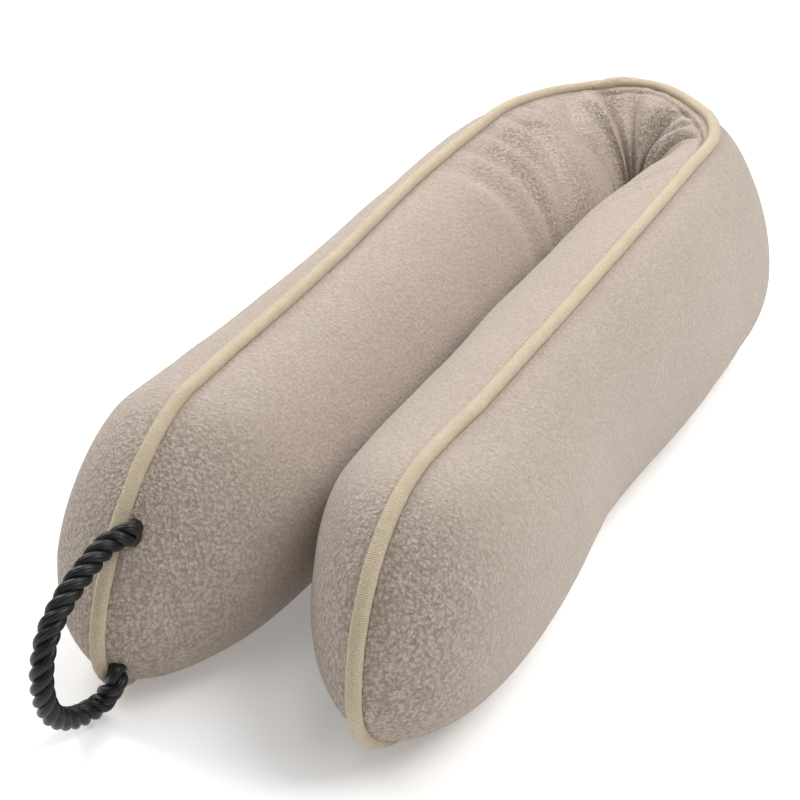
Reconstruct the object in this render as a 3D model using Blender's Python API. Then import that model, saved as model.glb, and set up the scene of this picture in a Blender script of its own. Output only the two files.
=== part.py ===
"""Draught excluder: a long filled fleece roll folded in half, with piping in its seam and a rope loop.

The legs of the fold lie along Y with their noses at -Y and the bend at +Y. Each section across
the roll is four quarters of a rounded oval: outer top, outer bottom, inner top, inner bottom.
Tables below are in millimetres and degrees; MM turns lengths to metres when a mesh is made.
"""
import math

import bmesh
import bpy
import numpy as np

MM = 0.001

# Roll: the seam runs round the loop of the fold, LEG_ROWS on each leg and BEND_ROWS on the bend.
NOSE_AXIS_Y = 96.0
BEND_Y = 351.0
WELL = dict(x=12.0, y=378.0, radius=5.0)
LEG_GAP = 0.8
BASE_SINK = 4.0

# y of the section, seam's distance from the middle, crest height, outer half width, waist height;
# -1 is the left leg and 1 the right one.
LEG_ROWS = {
    -1: [
        dict(y=96.0, seam=48.3, crest=97.0, outer=43.5, waist=41.5),
        dict(y=181.0, seam=49.3, crest=98.5, outer=36.4, waist=50.0),
        dict(y=266.0, seam=51.4, crest=102.5, outer=33.0, waist=47.0),
        dict(y=351.0, seam=51.0, crest=103.5, outer=34.5, waist=43.0),
    ],
    1: [
        dict(y=96.0, seam=48.3, crest=97.0, outer=39.0, waist=50.5),
        dict(y=181.0, seam=49.3, crest=98.5, outer=30.6, waist=50.3),
        dict(y=266.0, seam=51.4, crest=102.5, outer=33.6, waist=47.0),
        dict(y=351.0, seam=51.0, crest=103.5, outer=34.5, waist=43.0),
    ],
}

# angle round the bend, seam's distance from its centre, crest height, outer half width, waist height
BEND_ROWS = [
    dict(turn=0.0, seam=51.0, crest=103.5, outer=34.5, waist=43.0),
    dict(turn=30.0, seam=55.2, crest=102.5, outer=30.5, waist=38.0),
    dict(turn=60.0, seam=65.8, crest=102.0, outer=27.0, waist=37.5),
    dict(turn=90.0, seam=73.0, crest=104.5, outer=28.5, waist=39.0),
    dict(turn=120.0, seam=65.8, crest=102.0, outer=27.0, waist=37.5),
    dict(turn=150.0, seam=55.2, crest=102.5, outer=30.5, waist=38.0),
    dict(turn=180.0, seam=51.0, crest=103.5, outer=34.5, waist=43.0),
]

# Gathers of the inner panel at the bend. Place: degrees round the bend, below 0 or over 180 on
# along a leg at 1 mm a degree; lean: how far it has moved on when it reaches the well; half width
# at the seam and skew, which narrows the side towards the left leg; depth of the valley, and how
# far from the seam to the well it begins (rim) and is deepest (deep), as shares.
PLEATS = [
    dict(place=-38.0, lean=-40.0, width=10.0, skew=0.0, depth=3.6, rim=0.04, deep=0.45),
    dict(place=-13.0, lean=-60.0, width=8.0, skew=0.2, depth=4.2, rim=0.03, deep=0.35),
    dict(place=15.0, lean=57.0, width=8.0, skew=0.0, depth=3.6, rim=0.10, deep=0.45),
    dict(place=36.0, lean=60.0, width=8.0, skew=-0.2, depth=4.0, rim=0.12, deep=0.55),
    dict(place=57.0, lean=35.0, width=9.0, skew=-0.3, depth=5.5, rim=0.06, deep=0.55),
    dict(place=92.0, lean=10.0, width=11.0, skew=-0.1, depth=8.5, rim=0.04, deep=0.50),
    dict(place=109.0, lean=2.0, width=8.0, skew=0.3, depth=9.5, rim=0.02, deep=0.40),
    dict(place=118.0, lean=60.0, width=12.0, skew=0.2, depth=2.4, rim=0.06, deep=0.45),
    dict(place=150.0, lean=30.0, width=6.0, skew=0.2, depth=2.0, rim=0.02, deep=0.20),
    dict(place=173.0, lean=43.0, width=11.5, skew=0.50, depth=8.5, rim=0.00, deep=0.34),
    dict(place=198.0, lean=19.0, width=11.0, skew=0.50, depth=8.0, rim=0.00, deep=0.30),
    dict(place=220.0, lean=5.0, width=11.5, skew=0.45, depth=6.0, rim=0.00, deep=0.32),
    dict(place=244.0, lean=-4.0, width=13.0, skew=0.3, depth=3.5, rim=0.00, deep=0.40),
]
PLEATED = (-95.0, 290.0)

# Creases are sharper below 2, the cloth puffs up by this share of their depth beside them, and
# they narrow by this share on the way to the well.
CREASE_ROUNDNESS = 1.4
PUFF = 0.22
NARROWING = 0.45

# Noses: reach of the top curve and of the underside, height of the foremost point, roundness of
# both curves, and the seam's sideways lean at the front.
NOSES = {
    -1: dict(top_run=62.4, under_run=59.0, front=28.5, top_round=1.73, under_round=2.3, lean=0.5, sway=1.2),
    1: dict(top_run=58.7, under_run=67.8, front=35.3, top_round=2.13, under_round=1.9, lean=-0.2, sway=-1.5),
}

# Roundness of the noses' sections at the seam's front and low down, and at the flank; for each
# nose its outer half (1) and its inner one (-1).
NOSE_HALVES = {
    -1: {1: dict(front=1.86, low=1.46, flank=3.0), -1: dict(front=1.66, low=1.75, flank=1.8)},
    1: {1: dict(front=2.2, low=1.92, flank=2.43), -1: dict(front=1.42, low=1.75, flank=1.95)},
}
NOSE_STEPS = 8

# Section roundness: "peak" is the exponent at the seam, "flank" the one at the widest line.
TOP_FLANK = 1.86
TOP_FLANK_OUTER = {-1: 1.87, 1: 2.18}
TOP_FLANK_INNER_BEND = 2.4
TOP_PEAK_OUTER = 1.96
TOP_PEAK_OUTER_BEND = 1.56
TOP_PEAK_INNER = 2.2
TOP_PEAK_INNER_BEND = 1.9
UNDER_PEAK = 2.05
UNDER_FLANK = 2.0

# Piping and its groove
PIPING_RADIUS = 2.6
GROOVE_RADIUS = 3.0
PIPING_RIDE = 0.7
FLOOR_GAP = 0.3

# Rope loop on the left nose: three strands laid to the right
ROPE_RADIUS = 4.1
STRAND_RADIUS = 1.9
ROPE_PITCH = 16.8
ROPE_STEPS_PER_TURN = 10
ROPE_ENDS = {"upper": dict(front=67.5, side=6.6), "lower": dict(front=16.5, side=6.8)}
ROPE_BOWS = [
    dict(x=-43.2, y=4.5, z=69.6),
    dict(x=-45.2, y=-8.0, z=66.0),
    dict(x=-46.8, y=-18.8, z=59.5),
    dict(x=-47.9, y=-26.6, z=51.0),
    dict(x=-48.3, y=-31.4, z=40.5),
    dict(x=-48.3, y=-31.6, z=29.0),
    dict(x=-48.3, y=-26.6, z=18.4),
    dict(x=-48.3, y=-17.8, z=10.4),
    dict(x=-48.0, y=-8.6, z=5.9),
    dict(x=-45.6, y=-1.8, z=5.6),
    dict(x=-42.6, y=-0.8, z=10.4),
]

# Sections: along each leg, and in degrees round the bend between the gathered places
LEG_STEPS = 9
GATHERED = (-60.0, 262.0)
BEND_STEP = 5.4
QUARTER_STEPS = 9

# The origin lies on the floor, midway between the widest lines of both noses, and between the
# front of the piping and the back of the bend.
SIDE_X = {side: side * (LEG_ROWS[side][0]["seam"] + LEG_ROWS[side][0]["outer"]) for side in (-1, 1)}
BACK_ROW = BEND_ROWS[len(BEND_ROWS) // 2]
FRONT_Y = -(PIPING_RADIUS + PIPING_RIDE)
BACK_Y = BEND_Y + BACK_ROW["seam"] + BACK_ROW["outer"]
ORIGIN = np.array([(SIDE_X[-1] + SIDE_X[1]) / 2.0, (FRONT_Y + BACK_Y) / 2.0, 0.0])


def ease(t):
    t = min(max(t, 0.0), 1.0)
    return t * t * (3.0 - 2.0 * t)


def mix(first, second, share):
    return first + (second - first) * share


def placed(point):
    return (point - ORIGIN) * MM


def rounded(value, roundness):
    """Part of a rounded corner: 2 gives a circle, more a squarer one and less a sharper one."""
    return max(value, 0.0) ** (2.0 / roundness)


def curve_through(knots, rows, places):
    """Smooth curve through rows at knots, level at both ends, read at places."""
    knots = np.asarray(knots, float)
    rows = np.asarray(rows, float)
    places = np.atleast_1d(places).astype(float)
    step = np.diff(knots)[:, None]
    slope = np.diff(rows, axis=0) / step
    lean = np.zeros_like(rows)
    lean[1:-1] = (slope[:-1] * step[1:] + slope[1:] * step[:-1]) / (step[1:] + step[:-1])
    i = np.clip(np.searchsorted(knots, places, side="right") - 1, 0, len(knots) - 2)
    t = ((places - knots[i]) / step[i, 0])[:, None]
    h = step[i]
    start = rows[i] * (2 * t**3 - 3 * t**2 + 1) + lean[i] * h * (t**3 - 2 * t**2 + t)
    finish = rows[i + 1] * (-2 * t**3 + 3 * t**2) + lean[i + 1] * h * (t**3 - t**2)
    return start + finish


def table(rows, first):
    names = ("seam", "crest", "outer", "waist")
    return [row[first] for row in rows], [[row[name] for name in names] for row in rows]


def stations():
    """Places of the sections, from the left nose's axis round the bend to the right one's."""
    leg = BEND_Y - NOSE_AXIS_Y
    near, far = GATHERED
    right_run = np.linspace(-leg, near, LEG_STEPS)[:-1]
    bend = np.linspace(near, far, int((far - near) / BEND_STEP))
    left_run = np.linspace(far, 180.0 + leg, LEG_STEPS)[1:]
    return list(right_run) + list(bend) + list(left_run)


def plan(place):
    """Seam's place in plan, its outward direction, reach inward and section sizes at a station."""
    well = np.array([WELL["x"], WELL["y"], 0.0])
    if 0.0 <= place <= 180.0:
        knots, rows = table(BEND_ROWS, "turn")
        seam, crest, outer, waist = curve_through(knots, rows, place)[0]
        turn = math.radians(place)
        out = np.array([math.cos(turn), math.sin(turn), 0.0])
        spot = np.array([0.0, BEND_Y, 0.0]) + out * seam
        root = well + out * WELL["radius"]
    else:
        side = 1 if place < 0.0 else -1
        along = -place if place < 0.0 else place - 180.0
        knots, rows = table(LEG_ROWS[side], "y")
        seam, crest, outer, waist = curve_through(knots, rows, BEND_Y - along)[0]
        out = np.array([side, 0.0, 0.0])
        spot = np.array([side * seam, BEND_Y - along, 0.0])
        drift = ease(1.0 - along / 60.0)
        parted = mix(LEG_GAP / 2, WELL["radius"], ease(1.0 - along / 16.0))
        root = spot * np.array([0.0, 1.0, 0.0]) + (well - np.array([0.0, BEND_Y, 0.0])) * drift + out * parted
    return dict(spot=spot, out=out, crest=crest, outer=out * outer, inner=root - spot, waist=waist)


def pleat_depth(place, across):
    """Depth of the gathers at a station and share of the way from the seam to the well: narrow
    creases with puffed cloth between them."""
    depth = 0.0
    for pleat in PLEATS:
        off = place - pleat["place"] - pleat["lean"] * across
        width = pleat["width"] * (1.0 - NARROWING * across)
        off = abs(off) / (width * (1.0 - pleat["skew"] if off > 0.0 else 1.0 + pleat["skew"]))
        if off < 4.0:
            grown = ease((across - pleat["rim"]) / (pleat["deep"] - pleat["rim"]))
            spent = 0.5 * ease((across - pleat["deep"]) / (1.0 - pleat["deep"]))
            crease = math.exp(-2.0 * off**CREASE_ROUNDNESS) - PUFF * math.exp(-((off - 1.7) / 0.9) ** 2)
            depth += pleat["depth"] * crease * grown * (1.0 - spent)
    return depth


def strip_row(place, top):
    """A section's upper or lower half, with its reach to both flanks."""
    shape = plan(place)
    spot, waist = shape["spot"], shape["waist"]
    bent = ease((spot[1] - BEND_Y + 40.0) / 80.0)
    pinched = ease((spot[1] - BEND_Y + 60.0) / 80.0)
    peak = {
        1: mix(TOP_PEAK_OUTER, TOP_PEAK_OUTER_BEND, bent) if top else UNDER_PEAK,
        -1: mix(TOP_PEAK_INNER, TOP_PEAK_INNER_BEND, bent) if top else UNDER_PEAK,
    }
    flank = {1: UNDER_FLANK, -1: UNDER_FLANK}
    if top:
        flank = {
            1: mix(TOP_FLANK_OUTER[1 if place < 90.0 else -1], TOP_FLANK, bent),
            -1: mix(TOP_FLANK, TOP_FLANK_INNER_BEND, pinched),
        }
    return dict(
        hub=np.array([spot[0], spot[1], waist]),
        seam=np.array([spot[0], spot[1], shape["crest"] if top else -BASE_SINK]),
        inward=np.array([0.0, 0.0, -1.0 if top else 1.0]),
        out=shape["out"],
        reach={1: shape["outer"], -1: shape["inner"]},
        peak=peak,
        flank=flank,
        pleated=top and PLEATED[0] < place < PLEATED[1],
        lean=0.0,
        place=place,
    )


def nose_profile(nose, crest):
    """Seam over a nose: distance forward of the nose's axis and height, from crest to floor."""
    reach = NOSE_AXIS_Y
    points = []
    for step in (1, 2):
        points.append((mix(0.0, reach - nose["top_run"], step / 3.0), crest))
    for step in range(NOSE_STEPS + 1):
        turn = math.radians(90.0) * (1.0 - step / NOSE_STEPS)
        back = nose["top_run"] * (1.0 - rounded(math.cos(turn), nose["top_round"]))
        rise = (crest - nose["front"]) * rounded(math.sin(turn), nose["top_round"])
        points.append((reach - back, nose["front"] + rise))
    for step in range(1, NOSE_STEPS + 1):
        turn = math.radians(90.0) * step / NOSE_STEPS
        back = nose["under_run"] * (1.0 - rounded(math.cos(turn), nose["under_round"]))
        fall = (nose["front"] + BASE_SINK) * rounded(math.sin(turn), nose["under_round"])
        points.append((reach - back, nose["front"] - fall))
    points.append((mix(0.0, reach - nose["under_run"], 0.5), -BASE_SINK))
    return points


def nose_rows(side):
    """Fan of half sections round a nose, from its crest to the floor."""
    place = -(BEND_Y - NOSE_AXIS_Y) if side > 0 else 180.0 + BEND_Y - NOSE_AXIS_Y
    shape = plan(place)
    nose = NOSES[side]
    waist = shape["waist"]
    profile = [(0.0, shape["crest"])] + nose_profile(nose, shape["crest"]) + [(0.0, -BASE_SINK)]
    rows = []
    for i in range(1, len(profile) - 1):
        ahead, height = profile[i]
        tangent = np.array(profile[i + 1]) - np.array(profile[i - 1])
        tangent /= np.linalg.norm(tangent)
        angle = math.atan2(ahead, height - waist)
        share = math.degrees(angle)
        sway = nose["lean"] * math.sin(angle) + nose["sway"] * math.sin(2.0 * angle)
        peak, flank = {}, {}
        for half in (1, -1):
            start = TOP_PEAK_OUTER if half > 0 else TOP_PEAK_INNER
            round_flank = TOP_FLANK_OUTER[side] if half > 0 else TOP_FLANK
            sizes = NOSE_HALVES[side][half]
            knots = [start, sizes["front"], sizes["low"], UNDER_PEAK]
            peak[half] = float(np.interp(share, [0, 90, 135, 180], knots))
            flank[half] = float(np.interp(share, [0, 90, 180], [round_flank, sizes["flank"], UNDER_FLANK]))
        rows.append(dict(
            hub=np.array([shape["spot"][0], NOSE_AXIS_Y, waist]),
            seam=np.array([shape["spot"][0], NOSE_AXIS_Y - ahead, height]),
            inward=np.array([0.0, -tangent[1], -tangent[0]]),
            out=shape["out"],
            reach={1: shape["outer"], -1: shape["inner"]},
            peak=peak,
            flank=flank,
            pleated=False,
            lean=sway,
            place=place,
        ))
    return rows


def surface(row, half, turn):
    """Point of the cover at a quarter turn from the seam (0) to the widest line (90 degrees)."""
    across = rounded(math.sin(turn), row["peak"][half])
    along = rounded(math.cos(turn), row["flank"][half])
    point = row["hub"] + (row["seam"] - row["hub"]) * along + row["reach"][half] * across
    point[0] += row["lean"] * (1.0 - across)
    if half < 0 and row["pleated"]:
        depth = pleat_depth(row["place"], across)
        point = point + (row["out"] * math.sin(turn) - np.array([0.0, 0.0, math.cos(turn)])) * depth
    point[2] = max(point[2], 0.0)
    return point


def seam_point(row):
    point = row["seam"].copy()
    point[0] += row["lean"]
    point[2] = max(point[2], 0.0)
    return point


def piping_centre(row):
    point = seam_point(row) - row["inward"] * PIPING_RIDE
    point[2] = max(point[2], PIPING_RADIUS + FLOOR_GAP)
    return point


def half_section(row, half):
    """Points from the bottom of the seam's groove up its wall and over the cover to the flank."""
    centre = piping_centre(row)
    inward, across = row["inward"], row["out"] * half
    radius = GROOVE_RADIUS
    height = float(np.dot(seam_point(row) - centre, inward))
    wall = math.acos(min(max((height + 0.4) / radius, 0.0), 1.0))
    points = []
    for share in (0.0, 0.34, 0.67, 1.0):
        points.append(centre + (inward * math.cos(wall * share) + across * math.sin(wall * share)) * radius)
    width = float(np.linalg.norm(row["reach"][half]))
    lip = math.asin(((radius + 0.4) / width) ** (row["peak"][half] / 2.0))
    for step in range(QUARTER_STEPS + 1):
        share = step / QUARTER_STEPS
        turn = mix(lip, math.radians(90.0), share ** 1.15)
        points.append(surface(row, half, turn))
    return points


def loop_rows():
    """All half sections round the seam: over the top, round the right nose, back underneath and
    round the left nose. Each carries the keys of its flank points."""
    places = stations()[::-1]
    rows = []
    for number, place in enumerate(places):
        rows.append((strip_row(place, True), number))
    for row in nose_rows(1):
        rows.append((row, len(places) - 1))
    for number in range(len(places) - 1, -1, -1):
        rows.append((strip_row(places[number], False), number))
    for row in reversed(nose_rows(-1)):
        rows.append((row, 0))
    return rows


def new_material(name, colour, roughness):
    material = bpy.data.materials.new(name)
    material.use_nodes = True
    shader = material.node_tree.nodes["Principled BSDF"]
    shader.inputs["Base Color"].default_value = (*colour, 1.0)
    shader.inputs["Roughness"].default_value = roughness
    shader.inputs["Metallic"].default_value = 0.0
    material.diffuse_color = (*colour, 1.0)
    return material


def add_object(name, data, material, collection):
    thing = bpy.data.objects.new(name, data)
    data.materials.append(material)
    collection.objects.link(thing)
    return thing


def finish_mesh(name, work):
    bmesh.ops.recalc_face_normals(work, faces=work.faces)
    mesh = bpy.data.meshes.new(name)
    work.to_mesh(mesh)
    work.free()
    mesh.shade_smooth()
    mesh.set_sharp_from_angle(angle=math.radians(50.0))
    return mesh


def body_mesh(rows):
    work = bmesh.new()
    verts = {}
    sections = {half: [half_section(row, half) for row, _ in rows] for half in (1, -1)}
    last = QUARTER_STEPS + 4

    def vertex(half, index, column):
        index %= len(rows)
        if column == 0:
            key = ("groove", index)
        elif column == last:
            key = ("flank", half, rows[index][1])
        else:
            key = (half, index, column)
        if key not in verts:
            verts[key] = work.verts.new(placed(sections[half][index][column]))
        return verts[key]

    for half in (1, -1):
        for index in range(len(rows)):
            for column in range(last):
                corners = [
                    vertex(half, index, column),
                    vertex(half, index, column + 1),
                    vertex(half, index + 1, column + 1),
                    vertex(half, index + 1, column),
                ]
                if corners[1] is corners[2]:
                    corners.pop(2)
                work.faces.new(corners)
    return finish_mesh("body", work)


def rope_path():
    """Rope's centre line: it leaves the cover square, bows forward to the floor and returns."""
    rows = nose_rows(-1)
    ends = {}
    for name, end in ROPE_ENDS.items():
        heights = [row["seam"][2] for row in rows]
        first = max(i for i, height in enumerate(heights[:-1]) if height >= end["front"])
        share = (heights[first] - end["front"]) / (heights[first] - heights[first + 1])
        spots = []
        for row in (rows[first], rows[first + 1]):
            width = float(np.linalg.norm(row["reach"][-1]))
            turn = math.asin((end["side"] / width) ** (row["peak"][-1] / 2.0))
            spots.append((surface(row, -1, turn), surface(row, -1, turn + 0.04)))
        here = mix(spots[0][0], spots[1][0], share)
        along = spots[1][0] - spots[0][0]
        aside = spots[0][1] - spots[0][0]
        normal = np.cross(aside, along)
        normal /= np.linalg.norm(normal)
        if normal[1] > 0.0:
            normal = -normal
        ends[name] = (here, normal, along / np.linalg.norm(along), aside / np.linalg.norm(aside))
    bows = [np.array([bow["x"], bow["y"], bow["z"]]) for bow in ROPE_BOWS]
    (upper, up_way, *up_flat), (lower, low_way, *low_flat) = ends["upper"], ends["lower"]
    clear = 0.75
    knots = [upper + up_way * clear, upper + up_way * (clear + 3.5)] + bows
    knots += [lower + low_way * (clear + 3.5), lower + low_way * clear]
    knots = np.array(knots)
    lengths = np.concatenate([[0.0], np.cumsum(np.linalg.norm(np.diff(knots, axis=0), axis=1))])
    fine = curve_through(lengths, knots, np.linspace(0.0, lengths[-1], 400))
    run = np.concatenate([[0.0], np.cumsum(np.linalg.norm(np.diff(fine, axis=0), axis=1))])
    count = int(round(run[-1] / ROPE_PITCH * ROPE_STEPS_PER_TURN))
    places = np.linspace(0.0, run[-1], count + 1)
    centres = np.stack([np.interp(places, run, fine[:, axis]) for axis in range(3)], axis=1)
    return centres, places, (up_flat, low_flat)


def squeezed(offset, place, length, flats):
    """Offset from the rope's centre: its ends are flattened into the seam, long ways along it."""
    for reach, (along, aside) in zip((place, length - place), flats):
        share = 1.0 - ease(reach / 13.0)
        offset = offset + along * np.dot(offset, along) * 0.4 * share
        offset = offset - aside * np.dot(offset, aside) * 0.4 * share
    return offset


def strand_outline():
    """Radius round the rope at the angles of the three strands' backs, flanks and valleys."""
    spread = 2.0 * STRAND_RADIUS / math.sqrt(3.0)
    outline = []
    for strand in range(3):
        for off in (-44.0, -24.0, 0.0, 24.0, 44.0, 60.0):
            angle = math.radians(off)
            inside = max(STRAND_RADIUS**2 - (spread * math.sin(angle)) ** 2, 0.0)
            radius = spread * math.cos(angle) + math.sqrt(inside)
            outline.append((math.radians(120.0 * strand) + angle, max(radius, 0.52 * ROPE_RADIUS)))
    return outline


def rope_mesh():
    points, places, flats = rope_path()
    work = bmesh.new()
    outline = strand_outline()
    tangents = np.gradient(points, axis=0)
    tangents /= np.linalg.norm(tangents, axis=1)[:, None]
    side = np.cross(tangents[0], np.array([1.0, 0.0, 0.0]))
    side /= np.linalg.norm(side)
    rings = []
    for index, (point, tangent, place) in enumerate(zip(points, tangents, places)):
        side = side - tangent * np.dot(side, tangent)
        side /= np.linalg.norm(side)
        other = np.cross(tangent, side)
        twist = 2.0 * math.pi * place / ROPE_PITCH
        ring = []
        for angle, radius in outline:
            way = side * math.cos(angle + twist) + other * math.sin(angle + twist)
            offset = squeezed(way * radius, place, places[-1], flats)
            ring.append(work.verts.new(placed(point + offset)))
        rings.append(ring)
    for near, far in zip(rings[:-1], rings[1:]):
        for i in range(len(outline)):
            k = (i + 1) % len(outline)
            work.faces.new([near[i], near[k], far[k], far[i]])
    work.faces.new(rings[0])
    work.faces.new(rings[-1])
    return finish_mesh("rope_loop", work)


def piping_curve(rows):
    data = bpy.data.curves.new("piping", "CURVE")
    data.dimensions = "3D"
    data.bevel_depth = PIPING_RADIUS * MM
    data.bevel_resolution = 2
    data.use_fill_caps = True
    spline = data.splines.new("POLY")
    centres = [placed(piping_centre(row)) for row, _ in rows]
    spline.points.add(len(centres) - 1)
    for point, centre in zip(spline.points, centres):
        point.co = (*centre, 1.0)
    spline.use_cyclic_u = True
    spline.use_smooth = True
    return data


def build():
    for thing in list(bpy.data.objects):
        bpy.data.objects.remove(thing, do_unlink=True)
    collection = bpy.data.collections.new("draught_excluder")
    bpy.context.scene.collection.children.link(collection)
    fleece = new_material("fleece", (0.50, 0.42, 0.35), 0.95)
    twill = new_material("piping_cloth", (0.60, 0.51, 0.36), 0.8)
    satin = new_material("rope_satin", (0.018, 0.018, 0.02), 0.45)
    rows = loop_rows()
    add_object("body", body_mesh(rows), fleece, collection)
    add_object("piping", piping_curve(rows), twill, collection)
    add_object("rope_loop", rope_mesh(), satin, collection)


build()
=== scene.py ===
"""Looks of the draught excluder: fleece cover with gathers at the bend, piping, rope loop and studio.

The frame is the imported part. The cover, the piping and the rope repeat its tables of sizes in
millimetres and sample them finely; puckers, creases, pile and lay of the strands are added here.
"""

import math

import bmesh
import bpy
import numpy as np
from mathutils import Matrix, Vector, noise


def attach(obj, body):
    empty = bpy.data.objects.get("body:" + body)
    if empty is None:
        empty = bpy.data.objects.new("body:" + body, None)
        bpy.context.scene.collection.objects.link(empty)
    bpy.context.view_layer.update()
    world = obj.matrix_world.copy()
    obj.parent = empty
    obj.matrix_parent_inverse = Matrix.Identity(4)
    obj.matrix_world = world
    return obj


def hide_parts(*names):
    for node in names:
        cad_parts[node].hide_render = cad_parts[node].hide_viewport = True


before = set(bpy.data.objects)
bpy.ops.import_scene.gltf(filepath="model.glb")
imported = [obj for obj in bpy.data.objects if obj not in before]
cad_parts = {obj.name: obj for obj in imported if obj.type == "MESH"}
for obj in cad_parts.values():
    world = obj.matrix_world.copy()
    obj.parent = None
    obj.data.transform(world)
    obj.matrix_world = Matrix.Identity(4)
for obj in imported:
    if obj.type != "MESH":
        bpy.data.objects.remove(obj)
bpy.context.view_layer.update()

MM = 0.001

# Camera: where it looks, in millimetres from the part's origin, and from how far
LOOK_AT = np.array([-11.46, -55.23, 50.0])
CAMERA_DISTANCE = 780.5
CAMERA_AZIMUTH = 24.12
CAMERA_ELEVATION = 28.28
CAMERA_ROLL = 1.27
CAMERA_LENS = 88.33

# Roll: the seam runs round the loop of the fold, LEG_ROWS on each leg and BEND_ROWS on the bend.
NOSE_AXIS_Y = 96.0
BEND_Y = 351.0
WELL = dict(x=12.0, y=378.0, radius=5.0)
LEG_GAP = 0.8
BASE_SINK = 4.0

# Along the legs from the bend: where the slit has moved over to the well, and where it has opened
DRIFT_LENGTH = 60.0
PARTING_LENGTH = 16.0

# y of the section, seam's distance from the middle, crest height, outer half width, waist height;
# -1 is the left leg and 1 the right one.
LEG_ROWS = {
    -1: [
        dict(y=96.0, seam=48.3, crest=97.0, outer=43.5, waist=41.5),
        dict(y=181.0, seam=49.3, crest=98.5, outer=36.4, waist=50.0),
        dict(y=266.0, seam=51.4, crest=102.5, outer=33.0, waist=47.0),
        dict(y=351.0, seam=51.0, crest=103.5, outer=34.5, waist=43.0),
    ],
    1: [
        dict(y=96.0, seam=48.3, crest=97.0, outer=39.0, waist=50.5),
        dict(y=181.0, seam=49.3, crest=98.5, outer=30.6, waist=50.3),
        dict(y=266.0, seam=51.4, crest=102.5, outer=33.6, waist=47.0),
        dict(y=351.0, seam=51.0, crest=103.5, outer=34.5, waist=43.0),
    ],
}

# angle round the bend, seam's distance from its centre, crest height, outer half width, waist height
BEND_ROWS = [
    dict(turn=0.0, seam=51.0, crest=103.5, outer=34.5, waist=43.0),
    dict(turn=30.0, seam=55.2, crest=102.5, outer=30.5, waist=38.0),
    dict(turn=60.0, seam=65.8, crest=102.0, outer=27.0, waist=37.5),
    dict(turn=90.0, seam=73.0, crest=104.5, outer=28.5, waist=39.0),
    dict(turn=120.0, seam=65.8, crest=102.0, outer=27.0, waist=37.5),
    dict(turn=150.0, seam=55.2, crest=102.5, outer=30.5, waist=38.0),
    dict(turn=180.0, seam=51.0, crest=103.5, outer=34.5, waist=43.0),
]

# Gathers of the inner panel at the bend. Place: degrees round the bend, below 0 or over 180 on
# along a leg at 1 mm a degree; lean: how far it has moved on when it reaches the well; half width
# at the seam and skew, which narrows the side towards the left leg; depth of the valley, and how
# far from the seam to the well it begins (rim) and is deepest (deep), as shares.
PLEATS = [
    dict(place=-38.0, lean=-40.0, width=10.0, skew=0.0, depth=2.6, rim=0.04, deep=0.45),
    dict(place=-13.0, lean=-60.0, width=8.0, skew=0.2, depth=2.8, rim=0.03, deep=0.35),
    dict(place=15.0, lean=57.0, width=8.0, skew=0.0, depth=3.6, rim=0.10, deep=0.45),
    dict(place=36.0, lean=60.0, width=8.0, skew=-0.2, depth=4.0, rim=0.12, deep=0.55),
    dict(place=57.0, lean=35.0, width=9.0, skew=-0.3, depth=5.5, rim=0.06, deep=0.55),
    dict(place=92.0, lean=10.0, width=11.0, skew=-0.1, depth=8.5, rim=0.04, deep=0.50),
    dict(place=109.0, lean=2.0, width=8.0, skew=0.3, depth=9.5, rim=0.02, deep=0.40),
    dict(place=118.0, lean=60.0, width=12.0, skew=0.2, depth=2.4, rim=0.06, deep=0.45),
    dict(place=150.0, lean=30.0, width=6.0, skew=0.2, depth=2.0, rim=0.02, deep=0.20),
    dict(place=173.0, lean=43.0, width=11.5, skew=0.50, depth=8.5, rim=0.00, deep=0.34),
    dict(place=198.0, lean=19.0, width=11.0, skew=0.50, depth=8.0, rim=0.00, deep=0.30),
    dict(place=220.0, lean=5.0, width=11.5, skew=0.45, depth=6.0, rim=0.00, deep=0.32),
    dict(place=244.0, lean=-4.0, width=13.0, skew=0.3, depth=3.5, rim=0.00, deep=0.40),
]
PLEATED = (-95.0, 290.0)

# Creases are sharper below 2. Beside them the cloth puffs up by a share of their depth, at a place and
# over a width in their half widths. They narrow by a share on the way to the well.
CREASE_ROUNDNESS = 1.4
PUFF = dict(share=0.22, place=1.7, width=0.9)
NARROWING = 0.45

# Noses: reach of the top curve and of the underside, height of the foremost point, roundness of
# both curves, and the seam's sideways lean at the front.
NOSES = {
    -1: dict(top_run=62.4, under_run=59.0, front=28.5, top_round=1.73, under_round=2.3, lean=0.5, sway=1.2),
    1: dict(top_run=58.7, under_run=67.8, front=35.3, top_round=2.13, under_round=1.9, lean=-0.2, sway=-1.5),
}

# Roundness of the noses' sections at the seam's front and low down, and at the flank; for each
# nose its outer half (1) and its inner one (-1).
NOSE_HALVES = {
    -1: {1: dict(front=1.55, low=1.28, flank=3.45), -1: dict(front=1.66, low=1.75, flank=1.8)},
    1: {1: dict(front=2.2, low=1.92, flank=2.43), -1: dict(front=1.42, low=1.75, flank=1.95)},
}
NOSE_STEPS = 26

# Section roundness: "peak" is the exponent at the seam, "flank" the one at the widest line.
TOP_FLANK = 1.86
TOP_FLANK_OUTER = {-1: 1.76, 1: 2.18}
TOP_FLANK_INNER_BEND = 2.4
TOP_PEAK_OUTER = 1.96
TOP_PEAK_OUTER_BEND = 1.56
TOP_PEAK_INNER = 2.2
TOP_PEAK_INNER_BEND = 1.9
UNDER_PEAK = 2.05
UNDER_FLANK = 2.0

# Piping and its groove
PIPING_RADIUS = 2.6
GROOVE_RADIUS = 2.6
PIPING_RIDE = 0.7
FLOOR_GAP = 0.3
GROOVE_LIP = 0.4
GROOVE_SHARES = (0.0, 0.34, 0.67, 1.0)
PIPING_SIDES = 20
PIPING_STEP = 0.8

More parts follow.
